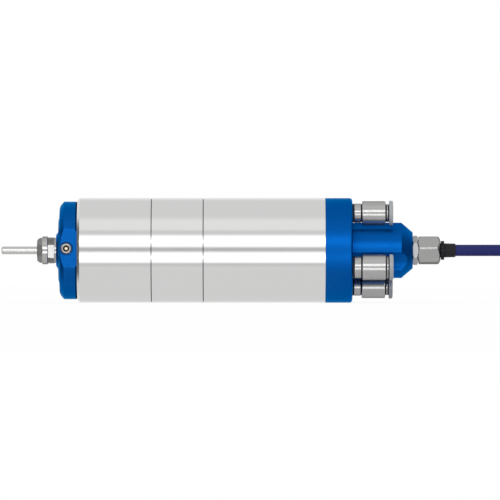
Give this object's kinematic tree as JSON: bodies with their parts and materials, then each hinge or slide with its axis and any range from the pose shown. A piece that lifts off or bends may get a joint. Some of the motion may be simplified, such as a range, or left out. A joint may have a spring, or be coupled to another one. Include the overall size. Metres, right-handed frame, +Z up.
{
  "type": "air turbine spindle",
  "caption": "Slim air bearing turbine spindle: stainless sleeve between blue end caps, collet nose with a shank, push-in air fittings and a sensor lead from a cable gland.",
  "frame": {"origin": "on the spindle's axis, in the middle of the housing's plain clamping length", "axes": "-X along the axis towards the nose and the tool, +X towards the cord, +Z up, the cap's flat faces -Y"},
  "size_m": [0.5396, 0.06, 0.06],
  "materials": {
    "anodised_blue": "satin anodised",
    "stainless": "fine turned",
    "bright_nickel": "polished plating",
    "ground_steel": "ground",
    "black_steel": "black oxide",
    "bearing_bronze": "machined",
    "bare_aluminium": "machined",
    "grey_plastic": "satin moulded",
    "black_plastic": "satin moulded",
    "black_rubber": "matt",
    "cord_jacket": "satin",
    "gold_pins": "plated",
    "plug_shell": "plated"
  },
  "bodies": {
    "root": {"bearing_air_fitting": "bright_nickel", "bush_seals": "black_rubber", "cap_plug": "bright_nickel", "cap_screws": "black_steel", "cap_seal": "black_rubber", "clamp_sleeve": "bare_aluminium", "collar_guides": "black_plastic", "cord_hank": "cord_jacket", "drive_air_fitting": "bright_nickel", "exhaust_plate": "bare_aluminium", "exhaust_silencer": "bearing_bronze", "fitting_gaskets": "black_rubber", "front_cap": "anodised_blue", "front_housing": "stainless", "front_journal_bush": "bearing_bronze", "front_thrust_plate": "bearing_bronze", "gland_body": "bright_nickel", "gland_bush": "black_rubber", "gland_nut": "bright_nickel", "gland_seal": "black_rubber", "grab_rings": "ground_steel", "hank_ties": "black_plastic", "housing_seals": "black_rubber", "middle_housing": "stainless", "nozzle_ring": "bare_aluminium", "plug_body": "black_plastic", "plug_lead": "cord_jacket", "plug_pins": "gold_pins", "purge_air_fitting": "bright_nickel", "rear_cap": "anodised_blue", "rear_cap_screws": "black_steel", "rear_cap_seal": "black_rubber", "rear_housing": "stainless", "rear_journal_bush": "bearing_bronze", "rear_thrust_plate": "bearing_bronze", "sensor_cord": "cord_jacket", "sensor_holder": "bare_aluminium", "sensor_lead": "cord_jacket", "speed_sensor": "ground_steel", "thrust_spacer": "ground_steel", "tie_screws": "black_steel", "tube_seals": "black_rubber"},
    "rotor": {"spindle_shaft": "ground_steel", "turbine_wheel": "bare_aluminium", "turbine_lock_nut": "ground_steel", "speed_disc": "ground_steel"},
    "collet": {"collet": "ground_steel"},
    "collet_nut": {"collet_nut": "bright_nickel"},
    "tool": {"tool_shank": "ground_steel"},
    "bearing_air_collar": {"bearing_air_collar": "grey_plastic"},
    "drive_air_collar": {"drive_air_collar": "grey_plastic"},
    "purge_air_collar": {"purge_air_collar": "grey_plastic"},
    "plug_ring": {"plug_ring": "plug_shell"}
  },
  "joints": [
    {"name": "rotor_spin", "type": "hinge", "parent": "root", "child": "rotor", "pos_m": [0, 0, 0], "axis": [1, 0, 0], "continuous": true},
    {"name": "collet_creep", "type": "slide", "parent": "rotor", "child": "collet", "axis": [-1, 0, 0], "range_m": [0, 0.0015]},
    {"name": "nut_turn", "type": "hinge", "parent": "collet", "child": "collet_nut", "pos_m": [-0.09, 0, 0], "axis": [-1, 0, 0], "range_deg": [0, 720.5]},
    {"name": "tool_slide", "type": "slide", "parent": "collet", "child": "tool", "axis": [-1, 0, 0], "range_m": [0, 0.02]},
    {"name": "bearing_air_release", "type": "slide", "parent": "root", "child": "bearing_air_collar", "axis": [-1, 0, 0], "range_m": [0, 0.0014], "stiffness_N_per_m": 400, "springref_m": -0.0005},
    {"name": "drive_air_release", "type": "slide", "parent": "root", "child": "drive_air_collar", "axis": [-1, 0, 0], "range_m": [0, 0.0014], "stiffness_N_per_m": 400, "springref_m": -0.0005},
    {"name": "purge_air_release", "type": "slide", "parent": "root", "child": "purge_air_collar", "axis": [-1, 0, 0], "range_m": [0, 0.0014], "stiffness_N_per_m": 400, "springref_m": -0.0005},
    {"name": "plug_ring_turn", "type": "hinge", "parent": "root", "child": "plug_ring", "pos_m": [0.3935, 0.0075, -0.023], "axis": [1, 0, 0], "continuous": true}
  ],
  "couplings": [
    {"joint": "nut_turn", "follows": "collet_creep", "rad_per_m": 8377.6}
  ]
}
